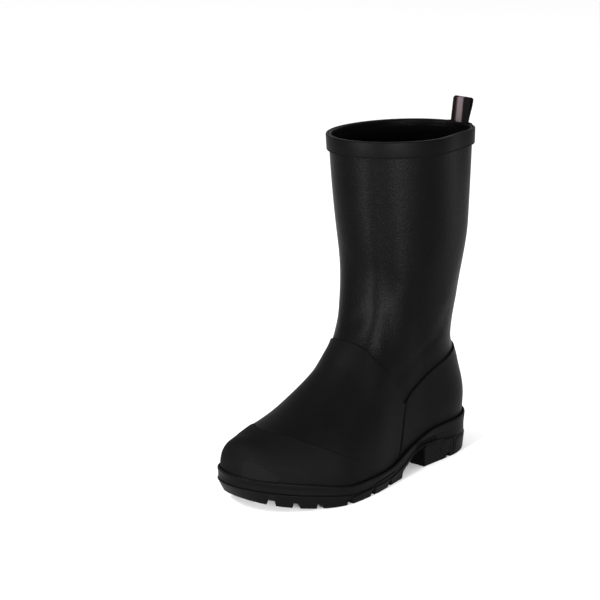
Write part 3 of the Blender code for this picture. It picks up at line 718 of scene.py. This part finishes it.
rows += [(WELT - corner + corner * np.sin(v), top - corner + corner * np.cos(v)) for v in arc[1:]]
for t in np.linspace(0, 1, 46)[1:-1]:
    z = top - corner - (height - 2 * corner) * t
    rows.append((WELT - draw * t - carve(s, z), z))
rows += [(WELT - draw - corner + corner * np.cos(v), foot + corner - corner * np.sin(v)) for v in arc]
bottom = np.minimum(foot, base - EDGE / 4)
rows += [(WELT - draw - EDGE - (RIM_LUG - EDGE - SLOPE) * t, foot * (1 - t) + bottom * t)
         for t in (0.25, 0.5, 0.75, 1)]
rows += [(WELT - draw - RIM_LUG, base)]
rows = sole_rings(line, rows)
under = across(rows[-1], 60)
s_under = HEEL_Y - under[:, :, 1]
bars = np.zeros(s_under.shape)
middle_share = np.abs(np.linspace(-1, 1, 60))[None, :]
for place_share in TREAD_BARS:
    bars = np.maximum(bars, step(BAR / 2 + 0.0006 - np.abs(s_under - place_share * FOOT), 0, 0.0012))
bars = bars * (1 - step(middle_share, 0.80, 0.86)) * (TREAD - 0.0002)
under[:, :, 2] -= bars
outsole_tread = mesh_piece("outsole_tread", [
    (rows, False, True, True),
    (across(rows[0], 3), False, False, False),
    (under, False, False, True),
], None, 1e-7)
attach(outsole_tread, "root")
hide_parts("outsole")

# %% [markdown]
# ## Insole
# A flat foam bed lies on the sole inside the boot. Little of it shows down the dark shaft.

# %% Insole
line = sole_line(120)
s = line[0]
off = -WALL - 0.0012
floor_of = sole_top(s) - BEAD - 0.0006 + GAP
rows = sole_rings(line, [(off, floor_of), (off, floor_of + INSOLE - EDGE)]
                  + [(off - EDGE + EDGE * np.cos(v), floor_of + INSOLE - EDGE + EDGE * np.sin(v)) for v in arc[1:]])
insole_bed = mesh_piece("insole_bed", [
    (rows, False, True, False),
    (across(rows[0], 8), False, False, True),
    (across(rows[-1], 8), False, False, False),
], None, 1e-7)
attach(insole_bed, "root")
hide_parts("insole")

# %% [markdown]
# ## Pull loop
# A strip of woven tape is folded over and held between rubber and band at the back. Its path is drawn
# once in the side view, and the strip is a thin closed profile carried along it.

# %% Pull loop
LOOP_RISE = 0.0235
LOOP_OPEN = 0.0045
TUCK = 0.0100
LOOP_LEAN = 6
wide = np.linspace(-0.5, 0.5, 25)
legs = np.linspace(0, 1, 40)
straight = LOOP_RISE + TUCK - LOOP_OPEN / 2 - WEB
swell = step(legs * straight, TUCK, straight)
near_leg = GAP + WEB / 2 + 0 * legs
far_leg = near_leg + WEB + GAP + swell * (LOOP_OPEN - WEB - GAP)
bend = np.linspace(0, np.pi, 20)[1:-1]
centre = (near_leg[-1] + far_leg[-1]) / 2
radius = (far_leg[-1] - near_leg[-1]) / 2
behind = np.concatenate([near_leg, centre - radius * np.cos(bend), far_leg[::-1]])
level = np.concatenate([legs * straight, straight + radius * np.sin(bend), legs[::-1] * straight])
level += HEIGHT - TUCK
lean_back = np.clip(level - HEIGHT, 0, None) * np.tan(np.radians(LOOP_LEAN))
x = LOOP_X + wide[None, :] * LOOP_WIDTH
z = level[:, None]
near = np.zeros((len(level), len(wide)))
far = near + 2.4
held = np.minimum(z, HEIGHT)
for _ in range(34):
    r = (near + far) / 2
    inside = depth(0.25 * FOOT - r * 0.24 * FOOT, x, held) > 0
    near = np.where(inside, r, near)
    far = np.where(inside, far, r)
wall = 0.25 * FOOT - near * 0.24 * FOOT
flat = np.clip((z - HEIGHT) / LOOP_RISE, 0, 1)
wall = wall * (1 - 0.7 * flat) + 0.7 * flat * wall.mean(axis=1, keepdims=True)
tape = place(wall - behind[:, None] - lean_back[:, None], x, z)
along = np.concatenate([[0], np.cumsum(np.linalg.norm(np.diff(tape[:, 12], axis=0), axis=1))])
tangent = np.gradient(tape, axis=0)
tangent /= np.linalg.norm(tangent, axis=2, keepdims=True)
side_way = np.gradient(tape, axis=1)
normal = np.cross(side_way, tangent)
normal /= np.linalg.norm(normal, axis=2, keepdims=True)
round_edge = np.sqrt(np.clip(1 - ((np.abs(wide) - 0.46) / 0.04).clip(0, 1) ** 2, 0.02, 1))[None, :, None]
front_face = tape + normal * WEB / 2 * round_edge
back_face = tape - normal * WEB / 2 * round_edge
loop_of = np.concatenate([front_face, back_face[:, ::-1]], axis=1)
fields = {"along": np.repeat(along[:, None], 50, 1),
          "across": np.repeat(np.concatenate([wide, wide[::-1]])[None, :], len(along), 0)}
loop_tape = mesh_piece("loop_tape", [
    (loop_of, False, True, True),
    (np.stack([front_face[0], back_face[0]]), False, False, True),
    (np.stack([front_face[-1], back_face[-1]]), False, False, False),
], fields, 1e-7)
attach(loop_tape, "root")
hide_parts("pull_loop")

# %% [markdown]
# ## Writing finishes as sums
# A finish is a small graph of shader nodes. The class below wraps a socket, so that plain Python sums
# add the Math nodes, and one method makes any other node.


# %% Shader sums
class Wire:
    """A shader value that can stand in sums: mask * 0.3 + 0.1, 1 - mask, and so on."""

    def __init__(self, finish, socket):
        self.finish = finish
        self.socket = socket

    def sum_of(self, operation, first, second=0.0):
        return self.finish.node("ShaderNodeMath", {"operation": operation}, {0: first, 1: second})

    def __add__(self, other):
        return self.sum_of("ADD", self, other)

    def __radd__(self, other):
        return self.sum_of("ADD", other, self)

    def __sub__(self, other):
        return self.sum_of("SUBTRACT", self, other)

    def __rsub__(self, other):
        return self.sum_of("SUBTRACT", other, self)

    def __mul__(self, other):
        return self.sum_of("MULTIPLY", self, other)

    def __rmul__(self, other):
        return self.sum_of("MULTIPLY", other, self)

    def __truediv__(self, other):
        return self.sum_of("DIVIDE", self, other)

    def __rtruediv__(self, other):
        return self.sum_of("DIVIDE", other, self)

    def __pow__(self, other):
        return self.sum_of("POWER", self, other)

    def __neg__(self):
        return self.sum_of("MULTIPLY", self, -1.0)

    def __abs__(self):
        return self.sum_of("ABSOLUTE", self)

    def sine(self):
        return self.sum_of("SINE", self)

    def at_least(self, other):
        return self.sum_of("MAXIMUM", self, other)

    def at_most(self, other):
        return self.sum_of("MINIMUM", self, other)

    def between(self, low, high):
        """Soft step from 0 at low to 1 at high."""
        return self.finish.node("ShaderNodeMapRange", {"interpolation_type": "SMOOTHSTEP"},
                                {"Value": self, "From Min": low, "From Max": high})


class Finish:
    """A material and its graph; node() makes one node from its type, settings and inputs."""

    def __init__(self, name, colour, roughness):
        self.material = bpy.data.materials.new(name)
        self.material.use_nodes = True
        self.tree = self.material.node_tree
        self.shader = self.tree.nodes["Principled BSDF"]
        self.set("Base Color", colour)
        self.set("Roughness", roughness)
        self.point = self.node("ShaderNodeTexCoord", output="Object")
        print("finish", name)

    def node(self, kind, settings=None, inputs=None, output=0):
        made = self.tree.nodes.new(kind)
        for key, value in (settings or {}).items():
            setattr(made, key, value)
        for key, value in (inputs or {}).items():
            self.plug(made.inputs[key], value)
        return Wire(self, made.outputs[output])

    def plug(self, socket, value):
        if isinstance(value, Wire):
            self.tree.links.new(value.socket, socket)
        else:
            socket.default_value = value

    def set(self, name, value):
        """Gives the main shader's input a value or a wire; a colour may leave out its alpha."""
        if isinstance(value, tuple) and len(value) == 3 and name != "Normal":
            value = (*value, 1.0)
        self.plug(self.shader.inputs[name], value)

    def noise(self, scale, detail=2.0, roughness=0.5, at=None):
        inputs = {"Vector": at or self.point, "Scale": scale, "Detail": detail, "Roughness": roughness}
        return self.node("ShaderNodeTexNoise", None, inputs)

    def pores(self, scale, at=None, feature="F1", output="Distance"):
        inputs = {"Vector": at or self.point, "Scale": scale}
        return self.node("ShaderNodeTexVoronoi", {"feature": feature}, inputs, output)

    def field(self, name):
        return self.node("ShaderNodeAttribute", {"attribute_name": name}, output="Fac")

    def axes(self, at=None):
        """The three coordinates of a point as wires."""
        split = self.tree.nodes.new("ShaderNodeSeparateXYZ")
        self.plug(split.inputs[0], at or self.point)
        return Wire(self, split.outputs[0]), Wire(self, split.outputs[1]), Wire(self, split.outputs[2])

    def blend(self, mask, first, second):
        """Colour that goes from first to second as the mask goes from 0 to 1."""
        made = self.tree.nodes.new("ShaderNodeMix")
        made.data_type = "RGBA"
        self.plug(made.inputs["Factor"], mask)
        for socket, value in ((made.inputs[6], first), (made.inputs[7], second)):
            self.plug(socket, (*value, 1.0) if isinstance(value, tuple) and len(value) == 3 else value)
        return Wire(self, made.outputs[2])

    def raise_by(self, height, distance, strength=1.0):
        """Bump: the height is in shares of a distance in metres."""
        inputs = {"Height": height, "Distance": distance, "Strength": strength}
        bump = self.node("ShaderNodeBump", None, inputs, output="Normal")
        self.set("Normal", bump)

    def give(self, *pieces):
        for piece in pieces:
            piece.data.materials.clear()
            piece.data.materials.append(self.material)


# %% [markdown]
# ## Rubber of the shaft
# The mould gives the shaft a fine leather-like grain and a satin sheen. The grain is a bump of small
# soft cells over a broader unevenness, and the roughness varies a little with both. Black rubber
# reflects little, so the specular level is low.

# %% Shaft rubber
shaft_finish = Finish("shaft_rubber", (0.0010, 0.0010, 0.0010), 0.35)
grain = shaft_finish.pores(760.0, feature="SMOOTH_F1")
fine = shaft_finish.noise(1700.0, 3.0, 0.6)
broad = shaft_finish.noise(24.0, 3.0, 0.5)
patch = shaft_finish.noise(210.0, 2.0, 0.6)
shaft_finish.set("Specular IOR Level", 0.026)
darker = (0.0009, 0.0009, 0.00095)
lighter = (0.0012, 0.0012, 0.0012)
shaft_finish.set("Base Color", shaft_finish.blend(broad.between(0.3, 0.7), darker, lighter))
shaft_finish.set("Roughness", 0.30 + broad * 0.06 + patch * 0.06)
shaft_finish.raise_by(grain * 0.9 + fine * 0.5 + patch * 0.5 + broad * 1.0, 0.00024)
shaft_finish.give(shaft)

# %% Band rubber
band_finish = Finish("band_rubber", (0.0010, 0.0010, 0.0011), 0.34)
fine = band_finish.noise(1500.0, 3.0, 0.6)
band_finish.set("Specular IOR Level", 0.028)
z_of = band_finish.axes()[2]
under = 1 - (z_of - (HEIGHT - BAND_HEIGHT)).between(0.0006, 0.0016)
band_finish.set("Roughness", (0.40 + fine * 0.08 + under * 0.5).at_most(0.95))
band_finish.raise_by(fine * 0.4, 0.00015)
band_finish.give(collar_ring)

# %% [markdown]
# ## Rubber of the overlays
# The overlays are smooth and duller than the shaft. The toe overlay is a little lighter and more matt,
# which fades out at its sides, where it sinks into the instep's. Its outer front corner carries a patch
# of fine slanting ribs. They are a sine of the turn round the foot and of the rise above the sole, and
# their crests are coloured a lighter grey as a painted highlight.


# %% Overlay rubber
def overlay_rubber(name, colour, roughness):
    finish = Finish(name, colour, roughness)
    fine = finish.noise(2400.0, 2.0, 0.6)
    broad = finish.noise(30.0, 3.0, 0.5)
    lighter = tuple(v * 1.22 for v in colour)
    finish.set("Specular IOR Level", 0.022)
    finish.set("Base Color", finish.blend(broad.between(0.3, 0.7), colour, lighter))
    edge = 1 - finish.field("border").between(0.0006, 0.0013)
    dull = roughness - 0.04 + broad * 0.08 + edge * 0.45
    finish.set("Roughness", dull.at_most(0.95))
    return finish, fine * 0.35 + broad * 0.9, dull


OVERLAY_BLACK = (0.0013, 0.0013, 0.0014)
TOE_BLACK = (0.0019, 0.0019, 0.0020)
# painted highlight: lighter grey given to the crests of the toe's ribs
RIB_CREST_HIGHLIGHT = (0.0048, 0.0048, 0.0049)
overlay_finish, height, dull = overlay_rubber("overlay_rubber", OVERLAY_BLACK, 0.46)
overlay_finish.raise_by(height, 0.00014)
overlay_finish.give(instep_overlay, heel_overlay)
toe_finish, height, dull = overlay_rubber("toe_rubber", TOE_BLACK, 0.46)
turn_of = toe_finish.field("turn")
rise_of = toe_finish.field("rise")
front = 1 - (turn_of * turn_of).between(40 ** 2, 64 ** 2)
toe_finish.set("Roughness", (dull + front * 0.26).at_most(0.95))
between_sides = (turn_of - 9).between(0, 3) - (turn_of - 35).between(0, 3)
under_slant = 1 - (rise_of + (turn_of - 19) * 0.00083).between(0.0225, 0.0240)
under_top = 1 - rise_of.between(0.0215, 0.0230)
ribbed = between_sides * under_slant * under_top
ribs = (rise_of * 1716.0 - turn_of * 2.49).sine() * 0.5 + 0.5
plain = toe_finish.blend(front, OVERLAY_BLACK, TOE_BLACK)
# painted highlight: the rib crests are blended toward a lighter grey
toe_finish.set("Base Color", toe_finish.blend(ribs * ribbed, plain, RIB_CREST_HIGHLIGHT))
toe_finish.raise_by(height + ribs * ribbed * 3.2, 0.00014)
toe_finish.give(toe_overlay)

# %% [markdown]
# ## Rubber of the sole
# The sole is matt, and its side is divided by narrow grooves: panels over the lugs of the outer edge, a
# raised panel with rounded corners at the heel and a patch of small diamonds where the arch begins. The
# grooves are cut into the sole's side above, from the distance from the heel and the height; the diamonds
# are a mask of the same two, drawn as bump, and the patch is darkened in colour as painted shade of its hollows.

# %% Sole rubber
sole_finish = Finish("sole_rubber", (0.0014, 0.0014, 0.0015), 0.48)
fine = sole_finish.noise(2200.0, 2.0, 0.6)
broad = sole_finish.noise(40.0, 3.0, 0.5)
x_of, y_of, z_of = sole_finish.axes()
s_of = HEEL_Y - y_of


def panel(low_s, high_s, low_z, high_z, soft=0.0008):
    """1 inside a rectangle of the sole's side, 0 outside, with soft edges."""
    inside_s = (s_of - low_s).between(0, soft) - (s_of - high_s).between(-soft, 0)
    inside_z = (z_of - low_z).between(0, soft) - (z_of - high_z).between(-soft, 0)
    return inside_s * inside_z


diamonds = ((s_of + z_of) * 3300.0).sine() * ((s_of - z_of) * 3300.0).sine()
patch = panel(0.056, 0.090, 0.0185, 0.0280)
sole_finish.set("Specular IOR Level", 0.026)
sole_finish.set("Roughness", 0.42 + broad * 0.1)
# painted shade: the diamond patch is darkened in colour for the shade in its small hollows
sole_finish.set("Base Color", sole_finish.blend(patch, (0.0014, 0.0014, 0.0015), (0.0006, 0.0006, 0.0006)))
sole_finish.raise_by(fine * 0.06 + broad * 0.15 + diamonds * patch * 0.8, 0.0009)
sole_finish.give(midsole_side, outsole_tread)

# %% [markdown]
# ## Lining and tape
# The lining is a black knitted fabric, seen only down the shaft. The pull tape is woven, with a pale
# stripe off its middle and a thin reddish line beside it. Both use the strip's own lengths.

# %% Lining
lining_finish = Finish("lining", (0.0009, 0.0009, 0.0009), 0.95)
weave = lining_finish.pores(1100.0)
lining_finish.set("Specular IOR Level", 0.02)
lining_finish.raise_by(weave, 0.0003)
lining_finish.give(lining, insole_bed)

# %% Tape
tape_finish = Finish("webbing", (0.003, 0.0028, 0.003), 0.85)
across_of = tape_finish.field("across")
along_of = tape_finish.field("along")
ridge = (along_of * (2 * np.pi / 0.0011)).sine()
edge_of = across_of + (along_of * (2 * np.pi / 0.0022)).sine() * 0.025
stripe = edge_of.between(-0.245, -0.215) - edge_of.between(0.055, 0.085)
fringe = edge_of.between(-0.305, -0.275) - edge_of.between(0.09, 0.12)
colour = tape_finish.blend(fringe, (0.003, 0.0028, 0.003), (0.040, 0.012, 0.011))
colour = tape_finish.blend(stripe, colour, (0.070, 0.061, 0.066))
tape_finish.set("Base Color", colour)
tape_finish.set("Specular IOR Level", 0.02)
tape_finish.raise_by(ridge * 0.5 + (across_of * (2 * np.pi * 22)).sine() * 0.35, 0.0002)
tape_finish.give(loop_tape)

# %% [markdown]
# ## Camera and light
# The camera stands where the photographer stood: turned 43 degrees from the toe toward the outer side
# and 16 degrees above the floor. It is turned a little off the boot, as the photograph is framed.

# %% Camera
AZIMUTH = np.radians(42.717)
ELEVATION = np.radians(16.193)
ROLL_ANGLE = np.radians(-0.906)
AWAY = 1.7275
FOCAL = 1921.8
AIM_AT = (345.64, 316.94)
AIM = np.array([0.0, HEEL_Y - 0.142, 0.150])
level_part = np.cos(ELEVATION)
back = np.array([np.sin(AZIMUTH) * level_part, -np.cos(AZIMUTH) * level_part, np.sin(ELEVATION)])
right = np.array([np.cos(AZIMUTH), np.sin(AZIMUTH), 0.0])
up = np.cross(back, right)
yaw = np.arctan2(AIM_AT[0] - 300, FOCAL)
pitch = np.arctan2(AIM_AT[1] - 300, np.hypot(FOCAL, AIM_AT[0] - 300))
turned = right * np.cos(yaw) - back * np.sin(yaw)
ahead = -right * np.sin(yaw) - back * np.cos(yaw)
upward = up * np.cos(pitch) - ahead * np.sin(pitch)
forward = up * np.sin(pitch) + ahead * np.cos(pitch)
x_axis = turned * np.cos(ROLL_ANGLE) - upward * np.sin(ROLL_ANGLE)
y_axis = turned * np.sin(ROLL_ANGLE) + upward * np.cos(ROLL_ANGLE)
eye = AIM + back * AWAY
camera = bpy.data.objects.new("camera", bpy.data.cameras.new("camera"))
camera.data.sensor_width = 36.0
camera.data.lens = 36.0 * FOCAL / 600
camera.data.clip_start = 0.05
camera.data.clip_end = 60.0
camera.matrix_world = Matrix([[x_axis[i], y_axis[i], -forward[i], eye[i]] for i in range(3)] + [[0, 0, 0, 1]])
bpy.context.scene.collection.objects.link(camera)
bpy.context.scene.camera = camera
print("eye", np.round(eye, 3).tolist())

# %% Floor
floor = bpy.data.objects.new("floor", bpy.data.meshes.new("floor"))
corners = [(-9, -9, -0.0002), (9, -9, -0.0002), (9, 9, -0.0002), (-9, 9, -0.0002)]
floor.data.from_pydata(corners, [], [(0, 1, 2, 3)])
bpy.context.scene.collection.objects.link(floor)
floor_finish = Finish("floor", (0.93, 0.93, 0.93), 0.7)
floor_finish.set("Specular IOR Level", 0.1)
floor_finish.give(floor)
floor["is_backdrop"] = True


# %% Lights
def soft_box(name, azimuth, elevation, away, wide, tall, power, target=(0.0, 0.03, 0.16)):
    """Area light at an azimuth from the toe and an elevation, facing the boot."""
    a = np.radians(azimuth)
    e = np.radians(elevation)
    lamp = bpy.data.lights.new(name, "AREA")
    lamp.shape = "RECTANGLE"
    lamp.size = wide
    lamp.size_y = tall
    lamp.energy = power
    light = bpy.data.objects.new(name, lamp)
    direction = Vector((np.sin(a) * np.cos(e), -np.cos(a) * np.cos(e), np.sin(e)))
    light.location = Vector(target) + direction * away
    light.rotation_mode = "QUATERNION"
    light.rotation_quaternion = (-direction).to_track_quat("-Z", "Y")
    bpy.context.scene.collection.objects.link(light)
    return light


soft_box("key", 12, 5, 2.0, 0.12, 0.60, 72)
soft_box("second", 67, 5, 2.0, 0.12, 0.60, 66)
soft_box("high", -30, 45, 2.4, 0.7, 0.7, 32)
world = bpy.data.worlds.new("studio")
bpy.context.scene.world = world
world.use_nodes = True
world.node_tree.nodes["Background"].inputs["Color"].default_value = (1.0, 1.0, 1.0, 1.0)
world.node_tree.nodes["Background"].inputs["Strength"].default_value = 1.0
bpy.context.scene.view_settings.view_transform = "Standard"

# %% Sizes and finish
size = {"cad": [list(v) for v in cad_box], "visual": [list(v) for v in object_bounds()]}
pairs = zip(sum(size["cad"], []), sum(size["visual"], []))
print("grown by mm", [round((b - a) * 1000, 2) for a, b in pairs])
